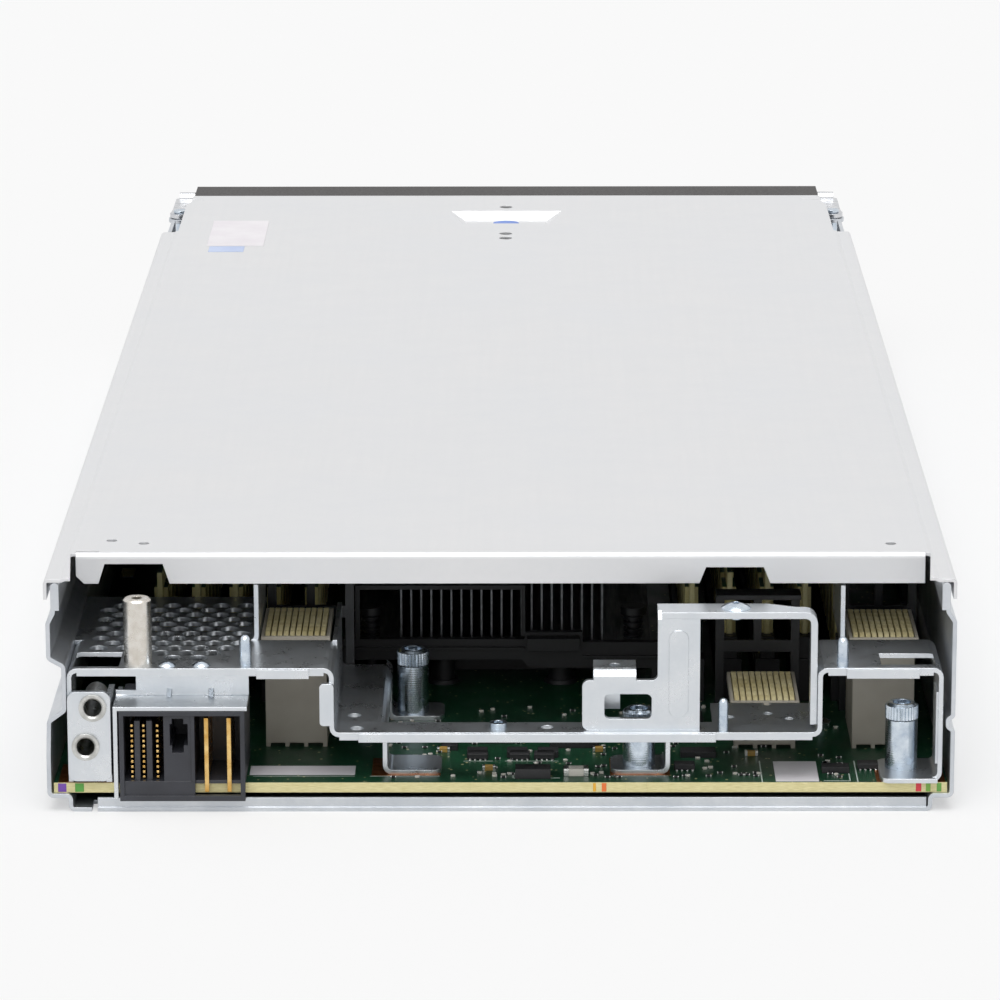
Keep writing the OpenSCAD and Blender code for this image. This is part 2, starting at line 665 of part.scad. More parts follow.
module guide_bushings() {
    color([0.8, 0.8, 0.79]) placed() for (b = bushing_at) difference() {
        union() {
            rod_y(b.x, b.y, bushing_d, 0.5, 0.5 + bushing_l);
            rod_y(b.x, b.y, bushing_d + 1.1, 0.1, 0.9);
        }
        rod_y(b.x, b.y, bushing_bore, 0, 2 + bushing_l);
        translate([b.x, 0.1, b.y]) rotate([-90, 0, 0]) cylinder(d1 = bushing_bore + 0.9, d2 = bushing_bore, h = 0.4);
    }
}

// ---- power connector ----
contact_y = 18;
signal_x = [2.9, 5.7, 9];
blade_x = [20.8, 26.2];
module power_housing() {
    wall = 1.1;
    floor_z = board_top + 0.8;
    color([0.27, 0.27, 0.3]) placed() translate([power_x, 0, 0]) {
        difference() {
            union() {
                slab(0, power_w, 0, power_l, board_top, power_top);
                slab(0, power_w, 0, 1.4, board_z - 1.5, power_top);
            }
            slab(wall, power_w - wall, -1, 1.4, board_z - 0.2, power_top - wall);
            slab(wall, power_w - wall, 1, contact_y, floor_z, power_top - wall);
        }
        // Partition, ribs of the signal field and the keyed block
        slab(17.1, 18, 0.3, contact_y + eps, floor_z - eps, power_top - wall + eps);
        for (x = [3.6, 6.5]) slab(x, x + 1.3, 1.2, contact_y + eps, floor_z - eps, power_top - 2.6);
        // Apron in front of the board's edge
        slab(wall - eps, 18, 0.5, 1.4 + eps, board_z - 0.3, floor_z + eps);
        difference() {
            slab(10.6, 17.1 + eps, 0.6, contact_y + eps, floor_z - eps, power_top - wall + eps);
            slab(12.1, 16.4, 0, contact_y - 2, power_top - 8.6, power_top - 3.2);
            slab(12.6, 15.4, 0, contact_y - 2, power_top - 10.4, power_top - 1.9);
        }
    }
}

module power_signal_pins() {
    color([0.85, 0.65, 0.3]) placed() translate([power_x, 0, 0])
        for (x = signal_x, i = [0:10]) slab(x - 0.3, x + 0.3, 2.2, contact_y, board_top + 1.1 + i * 1.28,
            board_top + 1.7 + i * 1.28);
}

module power_blades() {
    color([0.92, 0.75, 0.4]) placed() translate([power_x, 0, 0])
        for (x = blade_x) {
            slab(x - 0.5, x + 0.5, 0.7, contact_y, board_top + 1.4, power_top - 1.8);
            slab(x - 0.5, x + 0.5, 0.7, 1.4, board_top - 1.9, board_top + 1.5);
        }
}

module power_bracket() {
    top = power_top + 0.1;
    color([0.86, 0.88, 0.9]) placed() difference() {
        union() {
            sheet_x([[11.5, high_z - bracket_t - 0.1], [11.5, top], [0.2, top]], -1,
                power_x - 1.4, power_x + power_w + 0.6);
            slab(power_x - 1.4, power_x - 0.4, 0.2, 20, board_top, top + 0.3);
            slab(power_x - 1.4, power_x - 0.4, 0.2, board_setback - 0.1, lip_h + 0.1, top);
            // Gussets pressed into the fold
            for (x = [power_x + 11.5, power_x + 21.6]) plate_x(x - 0.6, x + 0.6)
                polygon([[10.6, top + 0.9], [10.6, top + 2.8], [8.7, top + 0.9]]);
        }
        slab(power_x - 2, power_x + 3.5, 10, 12.5, top + 2.2, high_z);
    }
}

// ---- mezzanine connectors ----
module io_connector(at, h) {
    top = board_top + h;
    frame_w = io_w + 1.8;
    color([0.78, 0.75, 0.68]) placed() difference() {
        union() {
            slab(at.x - io_w / 2, at.x + io_w / 2, at.y, at.y + io_l, board_top, top - 1);
            slab(at.x - frame_w / 2, at.x + frame_w / 2, at.y, at.y + io_l, top - 2, top);
        }
        slab(at.x - frame_w / 2 + 0.8, at.x + frame_w / 2 - 0.8, at.y + 0.8, at.y + io_l - 0.8, top - 1, top + 1);
        for (i = [-1, 0, 1])
            slab(at.x + i * 4.6 - 1.8, at.x + i * 4.6 + 1.8, at.y - 1, at.y + 3, board_top - 1, board_top + 1);
        for (x = [-2.6, 2.6]) rod_y(at.x + x, top - 3.6, 0.9, at.y - 1, at.y + 0.5);
    }
}

module io_connector_left() { io_connector(io_left, io_high); }
module io_connector_middle() { io_connector(io_middle, io_low); }
module io_connector_right() { io_connector(io_right, io_high); }

// One contact wafer: a thin blade with a rounded crest over each contact row
function crests(l, rows, h) = [for (i = [0:rows * 8]) [l * i / (rows * 8), 1 + h * abs(sin(180 * i / 8))]];

module contact_field(at, h) {
    frame_w = io_w + 1.8;
    pitch = (frame_w - 1.8) / 10;
    wafer_l = io_l - 2;
    for (i = [0:9])
        translate([at.x - frame_w / 2 + 0.9 + pitch * i + 0.1, at.y + 1, board_top + h - 1])
            rotate([90, 0, 90]) linear_extrude(pitch - 0.35)
                polygon(concat([[0, 0]], crests(wafer_l, 7, 0.8), [[wafer_l, 0]]));
}

module io_contacts() {
    color([0.84, 0.8, 0.62]) placed() {
        contact_field(io_left, io_high);
        contact_field(io_middle, io_low);
        contact_field(io_right, io_high);
    }
}

// Portal frames behind the connectors, where the adapter cards are clipped
module portal(x0, x1, top, y) {
    plate_y(y, y + 1.2) difference() {
        translate([x0, board_top]) square([x1 - x0, top - board_top]);
        translate([x0 + 2.2, top - 13]) square([(x1 - x0) / 2 - 3.2, 10.5]);
        translate([(x0 + x1) / 2 + 1, top - 13]) square([(x1 - x0) / 2 - 3.2, 10.5]);
        translate([x0 + 2.2, board_top + 3]) square([x1 - x0 - 4.4, top - board_top - 19]);
    }
    slab(x0, x1, y, y + 6, board_top, board_top + 1.2);
    slab(x0, x1, y - 5, y + eps, top - 1.2, top);
}

module card_frames() {
    color([0.35, 0.37, 0.4]) placed() {
        portal(step_left - 18.5, step_left + 3, high_z + 12, 62);
        portal(half_w - 55, half_w - 34, low_z + 19, 62);
        portal(half_w - 24, half_w - 5, high_z + 12, 62);
    }
}

// ---- cooling ----
module heat_sink(y0) {
    base_w = 76;
    span = fin_pitch * (fin_n - 1) + fin_t;
    color([0.75, 0.76, 0.77]) placed() difference() {
        union() {
            slab(-base_w / 2, base_w / 2, y0, y0 + sink_l, sink_z, sink_z + 3);
            for (i = [0:fin_n - 1]) translate([i * fin_pitch - span / 2, y0, sink_z + 3 - eps])
                cube([fin_t, sink_l, fin_top - sink_z - 3]);
        }
        for (x = [-33.5, 33.5], y = [y0 + 5, y0 + sink_l - 5]) post([x, y], 3.4, sink_z - 1, sink_z + 5);
    }
}

module heat_sink_rear() { heat_sink(sink_rear); }
module heat_sink_front() { heat_sink(sink_front); }

module heat_sink_posts() {
    color([0.3, 0.3, 0.32]) placed() for (y0 = [sink_rear, sink_front], x = [-15, 15], y = [4, sink_l - 4])
        translate([x, y0 + y, board_top]) {
            cylinder(d1 = 8.6, d2 = 7.6, h = 1);
            cylinder(d = 6.4, h = post_h);
        }
}

module heat_sink_screws() {
    color([0.72, 0.73, 0.75]) placed()
        for (y0 = [sink_rear, sink_front], x = [-33.5, 33.5], y = [5, sink_l - 5]) {
            post([x, y0 + y], 3, board_top, sink_z + 10);
            post([x, y0 + y], 6.5, sink_z + 9, sink_z + 11);
            for (k = [0:3]) post([x, y0 + y], 5, sink_z + 3 + k * 1.6, sink_z + 3.7 + k * 1.6);
        }
}

module cpu_sockets() {
    color([0.12, 0.12, 0.13]) placed() for (y0 = [sink_rear, sink_front]) difference() {
        slab(-24, 24, y0 + 14, y0 + sink_l - 14, board_top, board_top + post_h * 0.55);
        slab(-19, 19, y0 + 19, y0 + sink_l - 19, board_top + post_h * 0.35, board_top + post_h);
    }
}

module processors() {
    color([0.72, 0.72, 0.7]) placed() for (y0 = [sink_rear, sink_front]) {
        slab(-18.5, 18.5, y0 + 20, y0 + sink_l - 20, board_top + post_h * 0.35, board_top + post_h * 0.6);
        slab(-15, 15, y0 + 24, y0 + sink_l - 24, board_top + post_h * 0.6 - eps, sink_z);
    }
}

// Black duct wall in front of the rear heat sink
module air_baffle() {
    color([0.07, 0.07, 0.08]) placed() {
        plate_y(sink_rear - 6, sink_rear - 3.5) polygon([[-42, board_top], [-38, board_top],
            [-38, sink_z - 0.2], [5, sink_z - 0.2], [7, sink_z - 2.4], [38, sink_z - 2.4], [38, board_top],
            [42, board_top], [42, sink_z + 4.4], [20.5, sink_z + 4.4], [20.5, sink_z + 7],
            [5.8, sink_z + 7], [5.8, sink_z + 5.2], [-42, sink_z + 5.2]]);
        slab(6.5, 19.8, sink_rear - 9.5, sink_rear - 6 + eps, sink_z + 3, sink_z + 6.2);
        // Ledge along the wall, and the frame over it
        slab(-42, 5.8, sink_rear - 7, sink_rear - 6 + eps, sink_z + 2.6, sink_z + 3.3);
        slab(20.5, 42, sink_rear - 7, sink_rear - 6 + eps, sink_z + 0.4, sink_z + 1.1);
        slab(5, 6, sink_rear - 6, sink_rear - 3.5, sink_z + 6, sink_z + 19.3);
        slab(-36, 6, sink_rear - 6, sink_rear - 3.5, sink_z + 18.2, sink_z + 19.3);
        slab(-37, -35.8, sink_rear - 6, sink_rear - 3.5, sink_z + 5, sink_z + 19.3);
    }
}

// ---- memory ----
module for_sockets(side) {
    for (y0 = [bank_rear, bank_front], i = [0:memory_n - 1])
        translate([side * (memory_x + memory_pitch * i), y0, board_top]) children();
}

module memory_sockets() {
    color([0.78, 0.74, 0.6]) placed() for (side = [-1, 1]) for_sockets(side) difference() {
        union() {
            slab(-3, 3, 4, bank_l - 4, 0, 6.4);
            for (y = [0, bank_l - 6]) {
                slab(-3, 3, y, y + 6, 0, 11);
                slab(-1.8, 1.8, y + 1, y + 5, 10, 16.5);
            }
        }
        slab(-0.8, 0.8, 4, bank_l - 4, 2.4, 18);
    }
}

// Modules stand in the sockets' grooves, with chips on both faces
module memory_modules(side) {
    chip_pitch = (bank_l - 16) / 9;
    color([0.12, 0.4, 0.25]) placed() for_sockets(side) {
        slab(-0.65, 0.65, 4.4, bank_l - 4.4, 2.4, 2.4 + module_h);
        for (i = [0:8]) slab(-1.7, 1.7, 9 + i * chip_pitch, 9 + (i + 0.64) * chip_pitch, 8, 1.4 + module_h - 4);
    }
}

module memory_left() { memory_modules(-1); }
module memory_right() { memory_modules(1); }

// ---- board components ----
module power_inductors() {
    color([0.3, 0.3, 0.31]) placed() for (i = [0:5]) {
        slab(-38 + i * 13, -28 + i * 13, sink_front - 31, sink_front - 21, board_top, board_top + 7);
        post([-33 + i * 13, sink_front - 14], 8, board_top, board_top + 9);
    }
}

strip_x = [arm_x + 13, half_w - 52.4];
module chip(x, y, half_x, half_y, h) {
    slab(x - half_x, x + half_x, y - half_y, y + half_y, board_top, board_top + h);
}

module board_chips() {
    color([0.1, 0.1, 0.11]) placed() {
        // Centre across the open strip between the arm and the middle connector, place along, half sizes, height
        for (c = [[0.121, 24, 2.5, 2.1, 1.6], [0.259, 24, 2.5, 2.1, 1.6], [0.366, 24, 2.5, 2.1, 1.6],
            [0.024, 31, 2, 3, 1.4], [0.174, 39, 6, 5, 1.6], [0.458, 36, 6, 6, 1.4], [0.8, 48, 8, 8, 1.8]])
            chip(strip_x[0] + c[0] * (strip_x[1] - strip_x[0]), c[1], c[2], c[3], c[4]);
        chip(strap_left - 11.8, 7, 4.25, 2.2, 2.4);
        chip(half_w - 60.5, 24, 4.3, 2.2, 1.5);
        chip(half_w - 27.8, 11, 3.3, 1.8, 1.5);
        chip(half_w - 37.5, body_l - 56, 11, 10, 2);
        chip(bay_x1 + 18.5, body_l - 62, 8, 8, 1.6);
    }
}

module chip_heat_sink() {
    at = [(bay_x1 + half_w) / 2 - 32, body_l - 112];
    color([0.2, 0.2, 0.22]) placed() {
        slab(at.x, at.x + 36, at.y, at.y + 30, board_top, board_top + 4);
        for (i = [0:11]) slab(at.x + i * 3.09, at.x + i * 3.09 + 1.2, at.y, at.y + 30, board_top + 4 - eps,
            board_top + 14);
    }
}

module coin_cell() {
    at = [half_w - 24.5, body_l - 108];
    color([0.75, 0.75, 0.76]) placed() {
        difference() {
            post(at, 24, board_top, board_top + 3.4);
            post(at, 20.6, board_top + 1, board_top + 5);
        }
        post(at, 20, board_top + 1 - eps, board_top + 4.2);
    }
}

// ---- front frame and levers ----
cheek_y0 = pocket_y - 4;
ear_low = lever_low + flange_t + 0.3;
ear_high = lever_high - flange_t - 0.3;
module ear(z) {
    post(pivot, 7.6, z, z + 1.2);
    slab(cheek_x - 0.5, pivot.x, pivot.y - 3.8, pivot.y + 3.8, z, z + 1.2);
}

// Tabs close the gap to the side wall: bottom, top and distance from the wall's outer face
module cheek(tabs) {
    top = cover_low - seat_gap;
    difference() {
        union() {
            sheet_y([[cheek_x - 9, tray_t], [cheek_x, tray_t], [cheek_x, top], [cheek_x - 9, top]], 1.2,
                cheek_y0, bezel_y, 0.4);
            for (t = tabs) slab(cheek_x - 1, half_w - t[2], pocket_y - 1.2, pocket_y, t[0], t[1]);
            // Guard behind the lever, in line with the side wall
            slab(cheek_x - 1, half_w - 0.9, pocket_y + 0.1, pocket_y + 1.3, lever_low + 1, lever_high - 1);
            slab(half_w - 2.1, half_w - 0.9, pocket_y + 0.1, pivot.y - 8, lever_low + 1, lever_high - 1);
            ear(ear_low);
            ear(ear_high - 1.2);
        }
        post(pivot, lever_pin_d + 0.02, 0, body_h);
    }
}

module front_frame() {
    color([0.72, 0.74, 0.77]) placed() {
        cheek([[ledge_h + tray_t, hem_z - 9.7, 2.5]]);
        mirror([1, 0, 0]) cheek([[ledge_h + tray_t, 21.5, 1.7], [21.4, 39.1, 5.2], [39, hem_z - 10.3, 1.8]]);
    }
}

module lever_pins() {
    color([0.86, 0.87, 0.88]) placed() for (side = [-1, 1]) translate([side * pivot.x, pivot.y, 0]) {
        translate([0, 0, lever_low - 0.6]) cylinder(d = lever_pin_d, h = lever_high - lever_low + 1.4);
        translate([0, 0, lever_high + 0.2]) cylinder(d = 4.4, h = 0.7);
        translate([0, 0, lever_low - 1.4]) cylinder(d = 5, h = 1.2);
    }
}

// Right-hand lever: two flanges on the pivot, joined by a web down the outside and across the front
module lever_plan(grow) {
    translate(pivot) circle(d = 6.8);
    polygon([[pivot.x - 3.4, pivot.y], [pivot.x + 3.2, pivot.y], [half_w - 0.4, pivot.y + 6],
        [half_w - 0.4, lever_reach - 5], [half_w - 3, lever_reach - 2 + grow], [pivot.x - 3.4 - 6,
        lever_reach - 2 + grow], [pivot.x - 3.4 - 6, lever_reach - 7], [pivot.x - 3.4, lever_reach - 7]]);
}

module lever_arm() {
    difference() {
        union() {
            for (z = [lever_low, lever_high - flange_t]) translate([0, 0, z]) linear_extrude(flange_t)
                lever_plan(0);
            slab(half_w - 1.7, half_w - 0.4, pivot.y + 7, lever_reach - 5, lever_low + eps, lever_high - eps);
            slab(half_w - 6, half_w - 3, lever_reach - 3.3, lever_reach - 2, lever_low + eps, lever_high - eps);
            translate([0, 0, lever_low + eps]) linear_extrude(lever_high - lever_low - 2 * eps)
                polygon([[half_w - 0.4, lever_reach - 5.2], [half_w - 3, lever_reach - 2],
                    [half_w - 4, lever_reach - 3.2], [half_w - 1.7, lever_reach - 5.6]]);
            slab(cheek_x - 5.5, half_w - 3, lever_reach - 3.3, lever_reach - 2, lever_low + 4, lever_high - 4);
            // Rolled edge across the end of the top flange
            intersection() {
                translate([half_w - 6.6, lever_reach - 4, lever_high]) rotate([0, 90, 0]) cylinder(r = 2, h = 5);
                slab(half_w - 7, half_w, lever_reach - 7, lever_reach, lever_high - 0.5, lever_high + 3);
            }
        }
        post(pivot, lever_pin_d + 2 * running_gap, 0, body_h);
    }
}

module lever_grip() {
    x1 = cheek_x - 0.5;
    translate([0, 0, lever_low + 2]) linear_extrude(lever_high - lever_low - 4) difference() {
        polygon([[x1 - grip_w + 4, lever_reach], [x1 - grip_w + 1, lever_reach - 1.4], [x1 - grip_w,
            lever_reach - 4], [x1 - grip_w, lever_reach - 7.6], [x1, lever_reach - 7.6], [x1 + 4,
            lever_reach - 3.5], [x1 + 4.6, lever_reach - 3.5], [x1 + 4.6, lever_reach]]);
        translate([x1 - 5.2, lever_reach - 3.35]) square([12, 1.4]);
        translate([x1 - grip_w + 3, lever_reach - 8]) square([6, 3.4]);
    }
}

module lever_right_arm() { color([0.84, 0.85, 0.86]) placed() lever_arm(); }
module lever_left_arm() { color([0.84, 0.85, 0.86]) placed() mirror([1, 0, 0]) lever_arm(); }
module lever_right_grip() { color([0.2, 0.2, 0.21]) placed() lever_grip(); }
module lever_left_grip() { color([0.2, 0.2, 0.21]) placed() mirror([1, 0, 0]) lever_grip(); }

// ---- drives ----
cage_t = 1;
bay_x1 = cage_x + bay_w;
function bay_z(i) = cage_z + cage_t + i * bay_pitch;

module drive_cage() {
    top = bay_z(1) + bay_h;
    color([0.73, 0.75, 0.78]) placed() {
        for (x = [cage_x - cage_t, bay_x1]) difference() {
            slab(x, x + cage_t, cage_y, bezel_y, tray_t, top + cage_t);
            for (i = [0, 1], k = [0:3]) slab(x - 1, x + 2, cage_y + 12 + k * 24, cage_y + 28 + k * 24,
                bay_z(i) + 7, bay_z(i) + 13);
        }
        slab(cage_x - cage_t, bay_x1 + cage_t, cage_y, bezel_y, cage_z, cage_z + cage_t);
        slab(cage_x - cage_t, bay_x1 + cage_t, cage_y, bezel_y, bay_z(1) - 1, bay_z(1));
        slab(cage_x - cage_t, bay_x1 + cage_t, cage_y, bezel_y, top, top + cage_t);
        slab(cage_x - cage_t - 8, cage_x, cage_y, bezel_y, tray_t, tray_t + cage_t);
    }
}

module drive_backplane() {
    color([0.12, 0.38, 0.24]) placed() {
        slab(cage_x, bay_x1, cage_y - 1.7, cage_y - 0.1, tray_t + 2, bay_z(1) + bay_h + 4);
        for (i = [0, 1]) slab(cage_x + 22, cage_x + 54, cage_y - 0.2, cage_y + 5, bay_z(i) + 5, bay_z(i) + 10);
    }
}

// Tray: two side rails, a cross bar behind the drive's place and the face block
drive_l = 100.3;
drive_w = bay_w - 6.2;
drive_y = bezel_y - 2 - drive_l;
face_y = bezel_y - 1.6;
handle_t = 4;
handle_hinge = [cage_x + tray_gap + 3.4, body_l - 4.2];

module drive_tray(i) {
    x0 = cage_x + tray_gap;
    x1 = bay_x1 - tray_gap;
    z0 = bay_z(i) + tray_gap;
    z1 = bay_z(i) + bay_h - tray_gap;
    color([0.55, 0.57, 0.6]) placed() difference() {
        union() {
            for (x = [x0, x1 - 2.4]) slab(x, x + 2.4, drive_y + 2, face_y + 1, z0, z0 + 11);
            slab(x0, x1, face_y, body_l - 8.4, z0, z1);
            slab(x0 + 7, x1, body_l - 8.5, body_l - 6.6, z0, z0 + 2);
            slab(x0, x0 + 6.8, body_l - 8.5, body_l - 2, z0, z0 + 1.6);
            slab(x0, x0 + 6.8, body_l - 8.5, body_l - 2, z1 - 1.6, z1);
            translate([0, 0, z0]) post(handle_hinge, 2.4, 0.5, z1 - z0 - 0.5);
        }
        for (k = [0:4], m = [0:1]) slab(x0 + 12 + k * 11, x0 + 19 + k * 11, face_y - 1, body_l - 8,
            z0 + 3 + m * 7, z0 + 8 + m * 7);
    }
}

module tray_handle(i) {
    z0 = bay_z(i) + tray_gap + 1.9;
    z1 = bay_z(i) + bay_h - tray_gap - 1.9;
    x1 = bay_x1 - tray_gap;
    color([0.16, 0.16, 0.17]) placed() difference() {
        union() {
            post(handle_hinge, 5.2, z0, z1);
            slab(handle_hinge.x, x1 - 2, handle_hinge.y - 1.4, handle_hinge.y + 1.8, z0, z0 + 3);
            slab(handle_hinge.x, x1 - 2, handle_hinge.y - 1.4, handle_hinge.y + 1.8, z1 - 3, z1);
            slab(x1 - 14, x1 - 2, handle_hinge.y - 1.4, handle_hinge.y + 2.4, z0, z1);
            for (k = [1:5]) slab(handle_hinge.x + k * 10 - 0.6, handle_hinge.x + k * 10 + 0.6,
                handle_hinge.y - 1.2, handle_hinge.y + 1.6, z0 + 1, z1 - 1);
        }
        post(handle_hinge, 2.4 + 2 * running_gap, 0, body_h);
    }
}

module hard_drive(i) {
    z0 = bay_z(i) + tray_gap + 1;
    x0 = cage_x + 3.1;
    color([0.66, 0.67, 0.68]) placed() difference() {
        union() {
            slab(x0, x0 + drive_w, drive_y + 0.5, drive_y + drive_l, z0, z0 + drive_h * 0.8);
            slab(x0 + 2, x0 + drive_w - 2, drive_y + 2.5, drive_y + drive_l - 2, z0 + 1, z0 + drive_h);
        }
        slab(x0 + 18, x0 + 52, drive_y - 1, drive_y + 7, z0 + 3, z0 + drive_h * 0.8 + 1);
    }
}

module drive_tray_lower() { drive_tray(0); }
module drive_tray_upper() { drive_tray(1); }
module drive_lower() { hard_drive(0); }
module drive_upper() { hard_drive(1); }
module tray_handle_lower() { tray_handle(0); }
module tray_handle_upper() { tray_handle(1); }

// ---- bezel ----
grille_x = [bay_x1 + 4, half_w - 40 - panel_w];
grille_z = [7, body_h - 8];
grille_y = body_l - 5.5;
panel_x = [half_w - 37 - panel_w, half_w - 37];
panel_z = [7, body_h - 8];
bezel_low = tray_t + 0.2;
module front_bezel() {
    bay_top = bay_z(1) + bay_h;
    side = half_w - 7.2;
    grip_x = cheek_x - grip_w - 2.5;
    color([0.28, 0.27, 0.27]) placed() difference() {
        union() {
            // Shell with a visor along the top; its ends step back behind the lever grips
            slab(-side, side, bezel_y, lever_reach - 8.6, bezel_low, body_h - 1);
            slab(-grip_x, grip_x, bezel_y, body_l - 2, bezel_low, body_h - 1);
            plate_x(-side, side) polygon([[bezel_y, body_h - 2], [bezel_y, body_h], [body_l - 1.5, body_h],
                [body_l, body_h - 1.2], [body_l, body_h - 2.4], [body_l - 4, body_h - 2.4]]);
        }
        slab(cage_x - 0.5, bay_x1 + 0.5, bezel_y - 1, body_l + 1, cage_z - 0.5, bay_top + cage_t + 0.5);
        slab(grille_x[0], grille_x[1], bezel_y - 1, body_l + 1, grille_z[0], grille_z[1]);
        slab(grille_x[0] - 1.5, grille_x[1] + 1.5, bezel_y - 1, grille_y + 1.3, grille_z[0] - 1.5, grille_z[1] + 1.5);
        slab(panel_x[0], panel_x[1], bezel_y - 1, body_l + 1, panel_z[0], panel_z[1]);
        for (k = [0:6]) slab(cage_x + 3 + k * 10.4, cage_x + 11 + k * 10.4, bezel_y - 1, body_l + 1,
            bay_top + 2.6, body_h - 3.4);
        slab(-side + 2, -grip_x - 4, bezel_y + 1.5, body_l, bezel_low + 2, body_h - 4);
        slab(grip_x + 4, side - 2, bezel_y + 1.5, body_l, bezel_low + 2, body_h - 4);
    }
}

module plate_x(x0, x1) {
    translate([x0, 0, 0]) rotate([90, 0, 90]) linear_extrude(x1 - x0) children();
}

module bezel_grille() {
    cols = floor((grille_x[1] - grille_x[0] - grille_d) / grille_pitch);
    rows = floor((grille_z[1] - grille_z[0] - grille_d) / (grille_pitch * sin(60)));
    color([0.2, 0.2, 0.2]) placed() difference() {
        slab(grille_x[0] - 1.4, grille_x[1] + 1.4, grille_y, grille_y + 1.2, grille_z[0] - 1.4, grille_z[1] + 1.4);
        for (r = [0:rows], c = [0:cols - (r % 2)])
            translate([grille_x[0] + grille_d / 2 + grille_pitch * (c + (r % 2) / 2), grille_y - 1,
                grille_z[0] + grille_d / 2 + r * grille_pitch * sin(60)])
                rotate([-90, 0, 0]) rotate([0, 0, 30]) cylinder(d = grille_d, h = 4, $fn = 6);
    }
}

// ---- control panel and ports ----
button_at = [(panel_x[0] + panel_x[1]) / 2, panel_z[1] - 7.5];
light_z = [for (i = [0:3]) panel_z[1] - 15 - i * 3.4];
port_x = panel_x[0] + 2;
module control_panel() {
    y0 = body_l - 6;
    color([0.13, 0.13, 0.14]) placed() difference() {
        slab(panel_x[0] + 0.1, panel_x[1] - 0.1, y0, y0 + 3, panel_z[0] + 0.1, panel_z[1] - 0.1);
        rod_y(button_at.x, button_at.y, 8.4, y0 - 1, y0 + 4);
        for (z = light_z) rod_y(button_at.x, z, 2, y0 - 1, y0 + 4);
        slab(port_x - 0.4, panel_x[1] - 1.6, y0 - 1, y0 + 4, panel_z[0] + 1.1, panel_z[0] + 8.3);
    }
    color([0.13, 0.13, 0.14]) placed() for (x = [panel_x[0] + 0.1, panel_x[1] - 1.3])
        slab(x, x + 1.2, bezel_y, body_l - 6 + eps, panel_z[0] + 0.1, panel_z[1] - 0.1);
}

module power_button() {
    color([0.85, 0.86, 0.87]) placed() {
        rod_y(button_at.x, button_at.y, 7.8, body_l - 7.5, body_l - 2);
        rod_y(button_at.x, button_at.y, 9.6, body_l - 7.6, body_l - 6.1);
    }
}

module indicator_lights() {
    color([0.4, 0.85, 0.5]) placed() for (z = light_z) rod_y(button_at.x, z, 2, body_l - 8, body_l - 2.8);
}

module front_ports() {
    x1 = panel_x[1] - 2;
    z0 = panel_z[0] + 1.4;
    color([0.7, 0.71, 0.72]) placed() {
        difference() {
            slab(port_x, x1, bezel_y, body_l - 2.6, z0, z0 + 6.6);
            slab(port_x + 0.5, x1 - 0.5, bezel_y + 2, body_l, z0 + 0.5, z0 + 6.1);
        }
        slab(port_x + 3, x1 - 3, bezel_y + 1, body_l - 6, z0 + 0.4, z0 + 1.5);
    }
}

chassis_tray();
top_cover();
touch_point();
system_board();
board_screws();
rear_bracket();
strap_bracket();
bracket_fasteners();
guide_socket_plate();
guide_bushings();
power_housing();
power_signal_pins();
power_blades();
power_bracket();
io_connector_left();
io_connector_middle();
io_connector_right();
io_contacts();
tall_standoff();
locating_pins();
thumbscrew_left();
thumbscrew_middle();
thumbscrew_right();
thumbscrew_sleeves();
card_frames();
heat_sink_rear();
heat_sink_front();
heat_sink_posts();
heat_sink_screws();
cpu_sockets();
processors();
air_baffle();
memory_sockets();
memory_left();
memory_right();
power_inductors();
board_chips();
chip_heat_sink();
coin_cell();
front_frame();
lever_pins();
lever_left_arm();
lever_left_grip();
lever_right_arm();
lever_right_grip();
drive_cage();
drive_backplane();
drive_tray_lower();
drive_tray_upper();
drive_lower();
drive_upper();
tray_handle_lower();
tray_handle_upper();
front_bezel();
bezel_grille();
control_panel();
power_button();
indicator_lights();
front_ports();
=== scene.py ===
import json
import math
import random
import bpy
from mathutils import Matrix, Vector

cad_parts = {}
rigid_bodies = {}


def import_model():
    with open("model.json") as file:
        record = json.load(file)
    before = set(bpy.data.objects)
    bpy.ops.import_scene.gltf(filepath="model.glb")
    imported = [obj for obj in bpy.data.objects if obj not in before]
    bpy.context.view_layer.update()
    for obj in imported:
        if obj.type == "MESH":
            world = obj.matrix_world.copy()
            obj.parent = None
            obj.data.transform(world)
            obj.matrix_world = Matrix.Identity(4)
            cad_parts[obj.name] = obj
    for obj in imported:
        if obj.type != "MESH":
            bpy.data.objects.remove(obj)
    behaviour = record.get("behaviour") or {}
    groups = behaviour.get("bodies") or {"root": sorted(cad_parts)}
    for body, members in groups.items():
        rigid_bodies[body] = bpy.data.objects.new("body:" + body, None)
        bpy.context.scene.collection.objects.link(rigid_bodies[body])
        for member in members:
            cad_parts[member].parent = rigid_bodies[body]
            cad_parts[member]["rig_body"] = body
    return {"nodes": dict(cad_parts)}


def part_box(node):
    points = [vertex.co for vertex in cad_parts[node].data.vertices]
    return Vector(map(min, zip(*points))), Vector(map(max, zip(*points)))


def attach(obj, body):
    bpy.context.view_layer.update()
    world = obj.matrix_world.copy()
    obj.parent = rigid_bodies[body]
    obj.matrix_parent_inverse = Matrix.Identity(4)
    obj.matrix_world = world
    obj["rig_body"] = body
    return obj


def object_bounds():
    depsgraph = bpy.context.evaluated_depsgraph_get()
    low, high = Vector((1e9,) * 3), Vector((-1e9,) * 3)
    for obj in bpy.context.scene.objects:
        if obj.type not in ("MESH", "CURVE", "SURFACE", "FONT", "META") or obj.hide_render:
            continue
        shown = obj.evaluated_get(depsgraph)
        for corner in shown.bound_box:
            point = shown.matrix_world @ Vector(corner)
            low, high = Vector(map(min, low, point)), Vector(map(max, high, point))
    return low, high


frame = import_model()
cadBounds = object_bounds()
nodes = frame["nodes"]
print("frame loaded:", len(nodes), "nodes")


